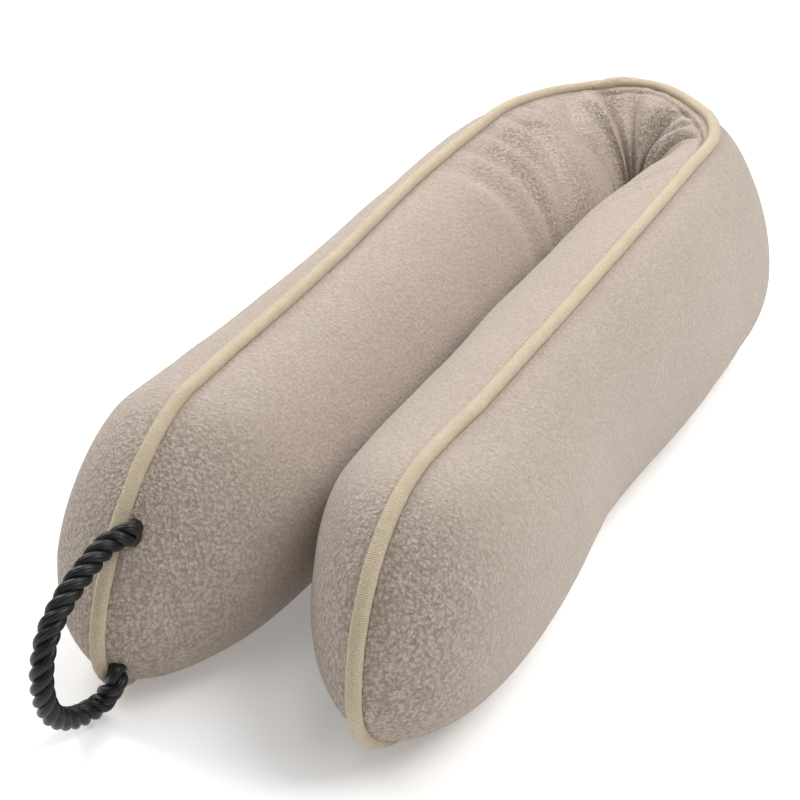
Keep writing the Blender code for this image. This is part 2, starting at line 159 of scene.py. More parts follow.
# The piping is a little flat, and its ends overlap in a twist behind the gathers: place along the
# seam, length, pitch of the twist and height of the step.
PIPING_FLATNESS = 0.09
JOIN = dict(place=106.0, length=9.0, slant=7.0, step=0.55)

# Rope loop on the left nose: three strands laid to the right
ROPE_RADIUS = 4.1
STRAND_RADIUS = 1.92
ROPE_PITCH = 16.8
ROPE_ENDS = {"upper": dict(front=66.8, side=5.5), "lower": dict(front=17.0, side=5.3)}
ROPE_BOWS = [
    dict(x=-43.4, y=4.3, z=68.8),
    dict(x=-45.4, y=-8.2, z=64.9),
    dict(x=-47.2, y=-19.2, z=58.6),
    dict(x=-48.5, y=-26.9, z=50.6),
    dict(x=-48.8, y=-31.4, z=40.5),
    dict(x=-48.9, y=-32.0, z=28.8),
    dict(x=-49.2, y=-27.6, z=17.8),
    dict(x=-49.2, y=-18.8, z=10.0),
    dict(x=-48.6, y=-8.6, z=6.0),
    dict(x=-47.0, y=-1.8, z=6.0),
    dict(x=-44.2, y=-0.8, z=10.9),
]
STRAND_SIDES = 66
YARNS_PER_STRAND = 14
YARN_RELIEF = 0.09
YARN_PITCH = 9.0

# The rope's route starts and ends this clear of the cover, with a straight lead. It is also carried
# on into the seam, and flattened near it: by this share, in full and then fading away.
ROPE_CLEAR = 0.75
ROPE_LEAD = 3.5
ROPE_TUCK = 3.5
ROPE_STEP = 0.8
ROPE_SAMPLES = 400
SQUEEZE = dict(share=0.4, full=3.0, fade=13.0)

# Sampling of the cover: the bend's finer steps go on along the legs for BEND_REACH
LEG_STEP = 3.0
BEND_STEP = 1.1
BEND_REACH = 50.0
QUARTER_STEPS = 34
LIP_CROWDING = 1.5

# Relief of the cover in millimetres: stuffing lumps, and puckers that fade away from the seam
LUMPS = [dict(size=52.0, height=0.9), dict(size=21.0, height=0.3)]
PUCKER = dict(size=5.5, height=0.55, fade=7.0)

# The crease sewn beside the piping on the right of the bend, sunk into the cover and darkened with painted
# shade: distance from the seam's lip, half width and depth, and the places where it fades in and out.
CREASE = dict(distance=5.0, width=0.9, depth=2.2, start=-8.0, full=12.0, fade=104.0, end=116.0)

# Depth at which a gather counts as a full valley for the painted light that lightens its valleys
FULL_FOLD = 8.0

# Curl of the pile with painted shade, from 0 to 1: the bump stands higher and the colour is darker and more
# contrasted.
# Its least, away from the noses' fronts, and its share in the gathers, which fade in and out at these places
LEAST_CURL_AND_SHADE = 0.35
GATHER_CURL_AND_SHADE = 0.5
GATHER_FADES = (-10.0, 30.0, 215.0, 290.0)

# Colours of the cloths, linear
FLEECE = dict(
    low=(0.33, 0.26, 0.205),
    high=(0.63, 0.545, 0.472),
    patch=(0.38, 0.31, 0.26),
    # Painted light, for the valleys of the gathers
    fold=(0.70, 0.60, 0.52),
    # Painted shade, for the crease beside the piping
    crease_shade=(0.20, 0.12, 0.09),
)
PIPING_CLOTH = dict(low=(0.41, 0.33, 0.225), high=(0.66, 0.565, 0.415), patch=(0.45, 0.37, 0.255))
ROPE_SATIN = dict(low=(0.0035, 0.0035, 0.004), high=(0.011, 0.011, 0.012))

# Features of the cloths for each metre
FLEECE_SCALE = dict(grain=760.0, tufts=640.0, shift=260.0, curls=520.0, fibres=2600.0, patches=22.0)
PIPING_SCALE = dict(threads=1900.0, waver=160.0, patches=60.0)
ROPE_SCALE = dict(yarn=900.0, grain=2400.0)

# Studio, in metres and watts
FLOOR_HALF_SIZE = 6.0
FLOOR_WHITE = 0.96
# The floor's glow is painted light that lifts the shadows on it
FLOOR_GLOW = 0.20
SKY_STRENGTH = 0.355
LAMP_TARGET = (0.0, 0.0, 0.05)
LAMPS = [
    dict(name="overhead", spot=(0.1, 0.5, 1.3), size=1.2, power=6.7),
    dict(name="right", spot=(0.72, 0.10, 1.12), size=0.8, power=10.1),
    dict(name="left", spot=(-1.0, 0.3, 0.95), size=0.9, power=13.9),
]

# The origin lies on the floor, midway between the widest lines of both noses, and between the
# front of the piping and the back of the bend.
SIDE_X = {side: side * (LEG_ROWS[side][0]["seam"] + LEG_ROWS[side][0]["outer"]) for side in (-1, 1)}
BACK_ROW = BEND_ROWS[len(BEND_ROWS) // 2]
FRONT_Y = -(PIPING_RADIUS + PIPING_RIDE)
BACK_Y = BEND_Y + BACK_ROW["seam"] + BACK_ROW["outer"]
ORIGIN = np.array([(SIDE_X[-1] + SIDE_X[1]) / 2.0, (FRONT_Y + BACK_Y) / 2.0, 0.0])


def ease(t):
    t = min(max(t, 0.0), 1.0)
    return t * t * (3.0 - 2.0 * t)


def mix(first, second, share):
    return first + (second - first) * share


def placed(point):
    return (point - ORIGIN) * MM


def rounded(value, roundness):
    """Part of a rounded corner: 2 gives a circle, more a squarer one and less a sharper one."""
    return max(value, 0.0) ** (2.0 / roundness)


def curve_through(knots, rows, places):
    """Smooth curve through rows at knots, level at both ends, read at places."""
    knots = np.asarray(knots, float)
    rows = np.asarray(rows, float)
    places = np.atleast_1d(places).astype(float)
    step = np.diff(knots)[:, None]
    slope = np.diff(rows, axis=0) / step
    lean = np.zeros_like(rows)
    lean[1:-1] = (slope[:-1] * step[1:] + slope[1:] * step[:-1]) / (step[1:] + step[:-1])
    i = np.clip(np.searchsorted(knots, places, side="right") - 1, 0, len(knots) - 2)
    t = ((places - knots[i]) / step[i, 0])[:, None]
    h = step[i]
    start = rows[i] * (2 * t**3 - 3 * t**2 + 1) + lean[i] * h * (t**3 - 2 * t**2 + t)
    finish = rows[i + 1] * (-2 * t**3 + 3 * t**2) + lean[i + 1] * h * (t**3 - t**2)
    return start + finish


def table(rows, first):
    names = ("seam", "crest", "outer", "waist")
    return [row[first] for row in rows], [[row[name] for name in names] for row in rows]


def stations():
    """Places of the sections, from the left nose's axis round the bend to the right one's."""
    leg = BEND_Y - NOSE_AXIS_Y
    near = BEND_REACH
    right_run = np.linspace(-leg, -near, int((leg - near) / LEG_STEP))[:-1]
    bend = np.linspace(-near, 180.0 + near, int((180.0 + 2 * near) / BEND_STEP))
    left_run = np.linspace(180.0 + near, 180.0 + leg, int((leg - near) / LEG_STEP))[1:]
    return list(right_run) + list(bend) + list(left_run)


def plan(place):
    """Seam's place in plan, its outward direction, reach inward and section sizes at a station."""
    well = np.array([WELL["x"], WELL["y"], 0.0])
    if 0.0 <= place <= 180.0:
        knots, rows = table(BEND_ROWS, "turn")
        seam, crest, outer, waist = curve_through(knots, rows, place)[0]
        turn = math.radians(place)
        out = np.array([math.cos(turn), math.sin(turn), 0.0])
        spot = np.array([0.0, BEND_Y, 0.0]) + out * seam
        root = well + out * WELL["radius"]
    else:
        side = 1 if place < 0.0 else -1
        along = -place if place < 0.0 else place - 180.0
        knots, rows = table(LEG_ROWS[side], "y")
        seam, crest, outer, waist = curve_through(knots, rows, BEND_Y - along)[0]
        out = np.array([side, 0.0, 0.0])
        spot = np.array([side * seam, BEND_Y - along, 0.0])
        drift = ease(1.0 - along / DRIFT_LENGTH)
        parted = mix(LEG_GAP / 2, WELL["radius"], ease(1.0 - along / PARTING_LENGTH))
        root = spot * np.array([0.0, 1.0, 0.0]) + (well - np.array([0.0, BEND_Y, 0.0])) * drift + out * parted
    return dict(spot=spot, out=out, crest=crest, outer=out * outer, inner=root - spot, waist=waist)


def pleat_depth(place, across):
    """Depth of the gathers at a station and share of the way from the seam to the well: narrow
    creases with puffed cloth between them."""
    depth = 0.0
    for pleat in PLEATS:
        off = place - pleat["place"] - pleat["lean"] * across
        width = pleat["width"] * (1.0 - NARROWING * across)
        off = abs(off) / (width * (1.0 - pleat["skew"] if off > 0.0 else 1.0 + pleat["skew"]))
        if off < 4.0:
            grown = ease((across - pleat["rim"]) / (pleat["deep"] - pleat["rim"]))
            spent = 0.5 * ease((across - pleat["deep"]) / (1.0 - pleat["deep"]))
            puff = PUFF["share"] * math.exp(-((off - PUFF["place"]) / PUFF["width"]) ** 2)
            crease = math.exp(-2.0 * off**CREASE_ROUNDNESS) - puff
            depth += pleat["depth"] * crease * grown * (1.0 - spent)
    return depth


def strip_row(place, top):
    """A section's upper or lower half, with its reach to both flanks."""
    shape = plan(place)
    spot, waist = shape["spot"], shape["waist"]
    bent = ease((spot[1] - BEND_Y + 40.0) / 80.0)
    pinched = ease((spot[1] - BEND_Y + 60.0) / 80.0)
    peak = {
        1: mix(TOP_PEAK_OUTER, TOP_PEAK_OUTER_BEND, bent) if top else UNDER_PEAK,
        -1: mix(TOP_PEAK_INNER, TOP_PEAK_INNER_BEND, bent) if top else UNDER_PEAK,
    }
    flank = {1: UNDER_FLANK, -1: UNDER_FLANK}
    if top:
        flank = {
            1: mix(TOP_FLANK_OUTER[1 if place < 90.0 else -1], TOP_FLANK, bent),
            -1: mix(TOP_FLANK, TOP_FLANK_INNER_BEND, pinched),
        }
    return dict(
        hub=np.array([spot[0], spot[1], waist]),
        seam=np.array([spot[0], spot[1], shape["crest"] if top else -BASE_SINK]),
        inward=np.array([0.0, 0.0, -1.0 if top else 1.0]),
        out=shape["out"],
        reach={1: shape["outer"], -1: shape["inner"]},
        peak=peak,
        flank=flank,
        pleated=top and PLEATED[0] < place < PLEATED[1],
        lean=0.0,
        place=place,
        top=top,
    )


def nose_profile(nose, crest):
    """Seam over a nose: distance forward of the nose's axis and height, from crest to floor."""
    reach = NOSE_AXIS_Y
    points = []
    lead = 10
    for step in range(1, lead):
        points.append((mix(0.0, reach - nose["top_run"], step / lead), crest))
    for step in range(NOSE_STEPS + 1):
        turn = math.radians(90.0) * (1.0 - step / NOSE_STEPS)
        back = nose["top_run"] * (1.0 - rounded(math.cos(turn), nose["top_round"]))
        rise = (crest - nose["front"]) * rounded(math.sin(turn), nose["top_round"])
        points.append((reach - back, nose["front"] + rise))
    for step in range(1, NOSE_STEPS + 1):
        turn = math.radians(90.0) * step / NOSE_STEPS
        back = nose["under_run"] * (1.0 - rounded(math.cos(turn), nose["under_round"]))
        fall = (nose["front"] + BASE_SINK) * rounded(math.sin(turn), nose["under_round"])
        points.append((reach - back, nose["front"] - fall))
    for step in range(1, lead):
        points.append((mix(reach - nose["under_run"], 0.0, step / lead), -BASE_SINK))
    return points


def nose_rows(side):
    """Fan of half sections round a nose, from its crest to the floor."""
    place = -(BEND_Y - NOSE_AXIS_Y) if side > 0 else 180.0 + BEND_Y - NOSE_AXIS_Y
    shape = plan(place)
    nose = NOSES[side]
    waist = shape["waist"]
    profile = [(0.0, shape["crest"])] + nose_profile(nose, shape["crest"]) + [(0.0, -BASE_SINK)]
    rows = []
    for i in range(1, len(profile) - 1):
        ahead, height = profile[i]
        tangent = np.array(profile[i + 1]) - np.array(profile[i - 1])
        tangent /= np.linalg.norm(tangent)
        angle = math.atan2(ahead, height - waist)
        share = math.degrees(angle)
        sway = nose["lean"] * math.sin(angle) + nose["sway"] * math.sin(2.0 * angle)
        peak, flank = {}, {}
        for half in (1, -1):
            start = TOP_PEAK_OUTER if half > 0 else TOP_PEAK_INNER
            round_flank = TOP_FLANK_OUTER[side] if half > 0 else TOP_FLANK
            sizes = NOSE_HALVES[side][half]
            knots = [start, sizes["front"], sizes["low"], UNDER_PEAK]
            peak[half] = float(np.interp(share, [0, 90, 135, 180], knots))
            flank[half] = float(np.interp(share, [0, 90, 180], [round_flank, sizes["flank"], UNDER_FLANK]))
        rows.append(dict(
            hub=np.array([shape["spot"][0], NOSE_AXIS_Y, waist]),
            seam=np.array([shape["spot"][0], NOSE_AXIS_Y - ahead, height]),
            inward=np.array([0.0, -tangent[1], -tangent[0]]),
            out=shape["out"],
            reach={1: shape["outer"], -1: shape["inner"]},
            peak=peak,
            flank=flank,
            pleated=False,
            lean=sway,
            place=place,
            top=share < 100.0,
        ))
    return rows


def surface(row, half, turn):
    """Point of the cover at a quarter turn from the seam (0) to the widest line (90 degrees)."""
    across = rounded(math.sin(turn), row["peak"][half])
    along = rounded(math.cos(turn), row["flank"][half])
    point = row["hub"] + (row["seam"] - row["hub"]) * along + row["reach"][half] * across
    point[0] += row["lean"] * (1.0 - across)
    if half < 0 and row["pleated"]:
        depth = pleat_depth(row["place"], across)
        point = point + (row["out"] * math.sin(turn) - np.array([0.0, 0.0, math.cos(turn)])) * depth
    point[2] = max(point[2], 0.0)
    return point


def seam_point(row):
    point = row["seam"].copy()
    point[0] += row["lean"]
    point[2] = max(point[2], 0.0)
    return point


def piping_centre(row):
    point = seam_point(row) - row["inward"] * PIPING_RIDE
    point[2] = max(point[2], PIPING_RADIUS + FLOOR_GAP)
    return point


def half_section(row, half):
    """Points from the bottom of the seam's groove up its wall and over the cover to the flank."""
    centre = piping_centre(row)
    inward, across = row["inward"], row["out"] * half
    radius = GROOVE_RADIUS
    height = float(np.dot(seam_point(row) - centre, inward))
    wall = math.acos(min(max((height + GROOVE_LIP) / radius, 0.0), 1.0))
    points = []
    for share in GROOVE_SHARES:
        points.append(centre + (inward * math.cos(wall * share) + across * math.sin(wall * share)) * radius)
    width = float(np.linalg.norm(row["reach"][half]))
    lip = math.asin(((radius + GROOVE_LIP) / width) ** (row["peak"][half] / 2.0))
    for step in range(QUARTER_STEPS + 1):
        turn = mix(lip, math.radians(90.0), (step / QUARTER_STEPS) ** LIP_CROWDING)
        points.append(surface(row, half, turn))
    return points


def loop_rows():
    """All half sections round the seam: over the top, round the right nose, back underneath and
    round the left nose. Each carries the keys of its flank points."""
    places = stations()[::-1]
    rows = []
    for number, place in enumerate(places):
        rows.append((strip_row(place, True), number))
    for row in nose_rows(1):
        rows.append((row, len(places) - 1))
    for number in range(len(places) - 1, -1, -1):
        rows.append((strip_row(places[number], False), number))
    for row in reversed(nose_rows(-1)):
        rows.append((row, 0))
    return rows


def wave(point, size, shift=0.0):
    """Smooth noise from -1 to 1 with features about size millimetres across."""
    return noise.noise(Vector(point) / size + Vector((shift, 2.0 * shift, -shift)))


def window(value, start, full, fade, end):
    return ease((value - start) / (full - start)) * ease((end - value) / (end - fade))


def relief(row, half, point, distance, run):
    """Height of lumps, puckers and crease over the smooth section, in millimetres."""
    near_seam = ease(distance / 6.0)
    height = 0.0
    for number, lump in enumerate(LUMPS):
        height += lump["height"] * wave(point, lump["size"], 3.0 * number) * near_seam
    ripple = noise.noise(Vector((run / PUCKER["size"], 7.0 * half, distance / 30.0)))
    height += PUCKER["height"] * ripple * math.exp(-distance / PUCKER["fade"]) * ease(distance / 1.5)
    return height - CREASE["depth"] * crease_share(row, half, distance)


def crease_share(row, half, distance):
    """1 in the crease sewn beside the piping at the bend, 0 away from it: sets its depth and its painted
    shade.
    """
    if half > 0 or not row["top"]:
        return 0.0
    place = row["place"]
    present = window(place, CREASE["start"], CREASE["full"], CREASE["fade"], CREASE["end"])
    present *= 0.65 + 0.45 * noise.noise(Vector((place / 5.0, 3.0, 0.0)))
    waver = 0.8 * noise.noise(Vector((place / 9.0, 0.0, 1.0)))
    off = (distance - CREASE["distance"] - waver) / CREASE["width"]
    return present * math.exp(-off * off)


def fold_share(row, half, spot):
    """Painted light in the valleys of the gathers: 0 on their crests and 1 in their valleys."""
    if half > 0 or not row["pleated"]:
        return 0.0
    reach = row["reach"][half]
    across = float(np.dot(spot - row["hub"], reach) / np.dot(reach, reach))
    return min(max(pleat_depth(row["place"], min(max(across, 0.0), 1.0)) / FULL_FOLD, 0.0), 1.0)


def curl_and_shade_share(row, half, normal):
    """Share of curl and painted shade: the pile's bump stands higher and its colour darker and more
    contrasted, most on faces turned forward such as the noses' fronts and in the gathers, least elsewhere.
    """
    front = ease((0.1 - normal.y) / 0.8)
    gathers = window(row["place"], *GATHER_FADES) if half < 0 and row["pleated"] else 0.0
    return max(front, GATHER_CURL_AND_SHADE * gathers, LEAST_CURL_AND_SHADE)


def body_mesh(rows):
    """The cover as one closed mesh, with each point's run along the seam and distance from it."""
    sections = {}
    last = QUARTER_STEPS + len(GROOVE_SHARES)
    for half in (1, -1):
        sections[half] = np.array([half_section(row, half) for row, _ in rows])
    seam = np.array([seam_point(row) for row, _ in rows])
    hops = np.linalg.norm(np.roll(seam, -1, axis=0) - seam, axis=1)
    runs = np.concatenate([[0.0], np.cumsum(hops)[:-1]])

    work = bmesh.new()
    crease_shade_share = work.verts.layers.float.new("crease_shade_share")
    folded = work.verts.layers.float.new("folded")
    curl_and_shade = work.verts.layers.float.new("curl_and_shade")
    verts, facts = {}, {}

    def vertex(half, index, column):
        index %= len(rows)
        if column == 0:
            key = ("groove", index)
        elif column == last:
            key = ("flank", half, rows[index][1])
        else:
            key = (half, index, column)
        if key not in verts:
            verts[key] = work.verts.new(sections[half][index][column])
            facts[key] = (half, index, column)
        return verts[key]

    for half in (1, -1):
        for index in range(len(rows)):
            for column in range(last):
                corners = [
                    vertex(half, index, column),
                    vertex(half, index, column + 1),
                    vertex(half, index + 1, column + 1),
                    vertex(half, index + 1, column),
                ]
                if corners[1] is corners[2]:
                    corners.pop(2)
                work.faces.new(corners)
    bmesh.ops.recalc_face_normals(work, faces=work.faces)
    work.normal_update()

    distances = {}
    for half in (1, -1):
        steps = np.linalg.norm(np.diff(sections[half], axis=1), axis=2)
        steps[:, :3] = 0.0
        distances[half] = np.concatenate([np.zeros((len(rows), 1)), np.cumsum(steps, axis=1)], axis=1)
    for key, vert in verts.items():
        half, index, column = facts[key]
        if column < 3:
            continue
        row = rows[index][0]
        point = vert.co.copy()
        height = relief(row, half, point, distances[half][index][column], runs[index])
        moved = point + vert.normal * height
        moved.z = max(moved.z, 0.0)
        if point.z < 0.05:
            moved = point
        vert.co = moved
    for key, vert in verts.items():
        half, index, column = facts[key]
        row = rows[index][0]
        spot = np.array(vert.co)
        # Painted shade in the crease beside the piping
        vert[crease_shade_share] = crease_share(row, half, distances[half][index][column])
        # Painted light in the valleys of the gathers
        vert[folded] = fold_share(row, half, spot)
        # Curl of the pile, with painted shade on faces turned forward and in the gathers
        vert[curl_and_shade] = curl_and_shade_share(row, half, vert.normal)
        vert.co = placed(spot)
    mesh = bpy.data.meshes.new("cover")
    work.to_mesh(mesh)
    work.free()
    mesh.shade_smooth()
    return mesh


def swept_tube(centres, frames, radius_at, sides, closed):
    """Tube through centres; frames holds two directions for each ring, radius_at its radius."""
    work = bmesh.new()
    rings = []
    for index, (centre, (first, second)) in enumerate(zip(centres, frames)):
        ring = []
        for i in range(sides):
            angle = 2.0 * math.pi * i / sides
            way = first * math.cos(angle) + second * math.sin(angle)
            ring.append(work.verts.new(placed(centre + way * radius_at(index, angle))))
        rings.append(ring)
    pairs = list(zip(rings[:-1], rings[1:]))
    if closed:
        pairs.append((rings[-1], rings[0]))
    for near, far in pairs:
        for i in range(sides):
            k = (i + 1) % sides
            work.faces.new([near[i], near[k], far[k], far[i]])
    if not closed:
        work.faces.new(rings[0])
        work.faces.new(rings[-1])
    bmesh.ops.recalc_face_normals(work, faces=work.faces)
    return work


def frames_along(centres, start, closed):
    """Two directions square to the line at each centre, carried along without turning."""
    if closed:
        tangents = np.roll(centres, -1, axis=0) - np.roll(centres, 1, axis=0)
    else:
        tangents = np.gradient(centres, axis=0)
    tangents /= np.linalg.norm(tangents, axis=1)[:, None]
    side = np.array(start, float)
    frames = []
    for tangent in tangents:
        side = side - tangent * np.dot(side, tangent)
        side /= np.linalg.norm(side)
        frames.append((side, np.cross(tangent, side)))
    return frames


def mesh_from(work, name):
    mesh = bpy.data.meshes.new(name)
    work.to_mesh(mesh)
    work.free()
    mesh.shade_smooth()
    return mesh


def piping_mesh(rows):
    """The piping as a closed tube that begins on the underside; each point carries its run along the
    seam in millimetres."""
    line = np.array([piping_centre(row) for row, _ in rows])
    sideways = np.array([row["out"] for row, _ in rows])
    marks = np.array([row["place"] if row["top"] else -1000.0 for row, _ in rows])
    start = 3 * len(rows) // 4
    line, sideways, marks = (np.roll(values, -start, axis=0) for values in (line, sideways, marks))
    line, sideways = np.vstack([line, line[:1]]), np.vstack([sideways, sideways[:1]])
    run = np.concatenate([[0.0], np.cumsum(np.linalg.norm(np.diff(line, axis=0), axis=1))])
    places = np.linspace(0.0, run[-1], int(run[-1] / PIPING_STEP) + 1)[:-1]
    centres = np.stack([np.interp(places, run, line[:, axis]) for axis in range(3)], axis=1)
    across = np.stack([np.interp(places, run, sideways[:, axis]) for axis in range(3)], axis=1)
    tangents = np.roll(centres, -1, axis=0) - np.roll(centres, 1, axis=0)
    tangents /= np.linalg.norm(tangents, axis=1)[:, None]
    frames = []
    for tangent, side in zip(tangents, across):
        side = side - tangent * np.dot(side, tangent)
        side /= np.linalg.norm(side)
        frames.append((side, np.cross(tangent, side)))
    join = run[int(np.argmin(np.abs(marks - JOIN["place"])))]

    def radius_at(index, angle):
        place = places[index]
        spot = Vector((place / 9.0, math.cos(angle), math.sin(angle)))
        dent = noise.noise(Vector((place / 2.6, 1.3 * math.cos(angle) + 5.0, 1.3 * math.sin(angle))))
        beyond = place - join - JOIN["slant"] * math.cos(angle)
        lap = window(beyond, 0.0, 0.9, JOIN["length"], JOIN["length"] + 3.0)
        return (PIPING_RADIUS * (1.0 + PIPING_FLATNESS * math.cos(2.0 * angle) + 0.04 * noise.noise(spot))
                + 0.13 * dent + JOIN["step"] * lap)

    mesh = mesh_from(swept_tube(centres, frames, radius_at, PIPING_SIDES, True), "piping")
    runs = mesh.attributes.new("run", "FLOAT", "POINT")
    runs.data.foreach_set("value", np.repeat(places, PIPING_SIDES))
    return mesh


def rope_path():
    """Rope's centre line: it leaves the cover square, bows forward to the floor and returns."""
    rows = nose_rows(-1)
    ends = {}
    for name, end in ROPE_ENDS.items():
        heights = [row["seam"][2] for row in rows]
        first = max(i for i, height in enumerate(heights[:-1]) if height >= end["front"])
        share = (heights[first] - end["front"]) / (heights[first] - heights[first + 1])
        spots = []
        for row in (rows[first], rows[first + 1]):
            width = float(np.linalg.norm(row["reach"][-1]))
            turn = math.asin((end["side"] / width) ** (row["peak"][-1] / 2.0))
            spots.append((surface(row, -1, turn), surface(row, -1, turn + 0.04)))
        here = mix(spots[0][0], spots[1][0], share)
        along = spots[1][0] - spots[0][0]
        aside = spots[0][1] - spots[0][0]
        normal = np.cross(aside, along)
        normal /= np.linalg.norm(normal)
        if normal[1] > 0.0:
            normal = -normal
        ends[name] = (here, normal, along / np.linalg.norm(along), aside / np.linalg.norm(aside))
    bows = [np.array([bow["x"], bow["y"], bow["z"]]) for bow in ROPE_BOWS]
    (upper, up_way, *up_flat), (lower, low_way, *low_flat) = ends["upper"], ends["lower"]
    lead = ROPE_CLEAR + ROPE_LEAD
    knots = [upper + up_way * ROPE_CLEAR, upper + up_way * lead] + bows
    knots += [lower + low_way * lead, lower + low_way * ROPE_CLEAR]
    knots = np.array(knots)
    lengths = np.concatenate([[0.0], np.cumsum(np.linalg.norm(np.diff(knots, axis=0), axis=1))])
    fine = curve_through(lengths, knots, np.linspace(0.0, lengths[-1], ROPE_SAMPLES))
    fine = np.vstack([fine[0] - up_way * ROPE_TUCK, fine, fine[-1] - low_way * ROPE_TUCK])
    run = np.concatenate([[0.0], np.cumsum(np.linalg.norm(np.diff(fine, axis=0), axis=1))])
    places = np.linspace(0.0, run[-1], int(run[-1] / ROPE_STEP) + 1)
    centres = np.stack([np.interp(places, run, fine[:, axis]) for axis in range(3)], axis=1)
    return centres, places, (up_flat, low_flat)


def squeezed(offset, place, length, flats):
    """Offset from the rope's centre: its ends are flattened into the seam, long ways along it."""
    for reach, (along, aside) in zip((place, length - place), flats):
        share = SQUEEZE["share"] * (1.0 - ease((reach - SQUEEZE["full"]) / SQUEEZE["fade"]))
        offset = offset + along * np.dot(offset, along) * share
        offset = offset - aside * np.dot(offset, aside) * share
    return offset


def rope_mesh(centres, places, flats):
    """Three strands twisted round the centre line, each with the ridges of its yarns."""
    frames = frames_along(centres, (1.0, 0.0, 0.0), False)
    spread = ROPE_RADIUS - STRAND_RADIUS
    whole = bmesh.new()
    for strand in range(3):
        line = []
        for centre, place, (first, second) in zip(centres, places, frames):
            angle = 2.0 * math.pi * (place / ROPE_PITCH + strand / 3.0)
            offset = (first * math.cos(angle) + second * math.sin(angle)) * spread
            line.append(centre + squeezed(offset, place, places[-1], flats))
        line = np.array(line)

        def radius_at(index, angle, strand=strand):
            yarn = YARNS_PER_STRAND * angle - 2.0 * math.pi * places[index] / YARN_PITCH
            spot = Vector((places[index] / 3.0, math.cos(angle) + 4.0 * strand, math.sin(angle)))
            rough = noise.noise(spot)
            return STRAND_RADIUS * (1.0 + 0.03 * rough) + YARN_RELIEF * math.cos(yarn)

        tube = swept_tube(line, frames_along(line, (1.0, 0.0, 0.0), False), radius_at, STRAND_SIDES, False)
        part = bpy.data.meshes.new("strand")
        tube.to_mesh(part)
        tube.free()
        whole.from_mesh(part)
        bpy.data.meshes.remove(part)
    return mesh_from(whole, "rope")


class Nodes:
    """Short way of laying out a material's nodes."""

    def __init__(self, name):
        self.material = bpy.data.materials.new(name)
        self.material.use_nodes = True
        self.tree = self.material.node_tree
        self.shader = self.tree.nodes["Principled BSDF"]
        self.place = self.add("ShaderNodeTexCoord").outputs["Object"]

    def add(self, kind, **settings):
        node = self.tree.nodes.new(kind)
        for key, value in settings.items():
            setattr(node, key, value)
        return node

    def put(self, socket, value):
        if isinstance(value, bpy.types.NodeSocket):
            self.tree.links.new(value, socket)
        else:
            socket.default_value = value

    def noise(self, scale, detail, rough=0.5, distortion=0.0):
        node = self.add("ShaderNodeTexNoise")
        self.put(node.inputs["Vector"], self.place)
        self.put(node.inputs["Scale"], scale)
        self.put(node.inputs["Detail"], detail)
        self.put(node.inputs["Roughness"], rough)
        self.put(node.inputs["Distortion"], distortion)
        return node.outputs["Fac"]

    def warped(self, scale, distance):
        """Object coordinates shifted by smooth noise."""
        shift = self.add("ShaderNodeTexNoise")
        self.put(shift.inputs["Vector"], self.place)
        self.put(shift.inputs["Scale"], scale)
        move = self.add("ShaderNodeVectorMath", operation="MULTIPLY_ADD")
        self.put(move.inputs[0], shift.outputs["Color"])
        move.inputs[1].default_value = (distance, distance, distance)
        self.put(move.inputs[2], self.place)
        return move.outputs[0]

    def attribute(self, name):
        node = self.add("ShaderNodeAttribute", attribute_type="GEOMETRY", attribute_name=name)
        return node.outputs["Fac"]

    def math(self, operation, first, second=0.0):
        node = self.add("ShaderNodeMath", operation=operation)
        self.put(node.inputs[0], first)
        self.put(node.inputs[1], second)
        return node.outputs[0]

    def spread(self, value, low, high, start=0.0, end=1.0):
        node = self.add("ShaderNodeMapRange", interpolation_type="SMOOTHSTEP")
        for name, item in (("Value", value), ("From Min", low), ("From Max", high),
                           ("To Min", start), ("To Max", end)):
            self.put(node.inputs[name], item)
        return node.outputs["Result"]

    def blend(self, share, first, second):
        node = self.add("ShaderNodeMix", data_type="RGBA")
        self.put(node.inputs[0], share)
        for socket, value in ((node.inputs[6], first), (node.inputs[7], second)):
            self.put(socket, value if isinstance(value, bpy.types.NodeSocket) else (*value, 1.0))
        return node.outputs[2]

    def bump(self, height, distance, strength=1.0):
        node = self.add("ShaderNodeBump")
        self.put(node.inputs["Height"], height)
        self.put(node.inputs["Distance"], distance)
        self.put(node.inputs["Strength"], strength)
        return node.outputs["Normal"]

    def finish(self, colour, roughness, normal, specular, sheen=0.0):
        inputs = self.shader.inputs
        self.put(inputs["Base Color"], colour)
        self.put(inputs["Roughness"], roughness)
        self.put(inputs["Normal"], normal)
        inputs["Sheen Weight"].default_value = sheen
        inputs["Sheen Roughness"].default_value = 0.5
        inputs["Specular IOR Level"].default_value = specular
        return self.material


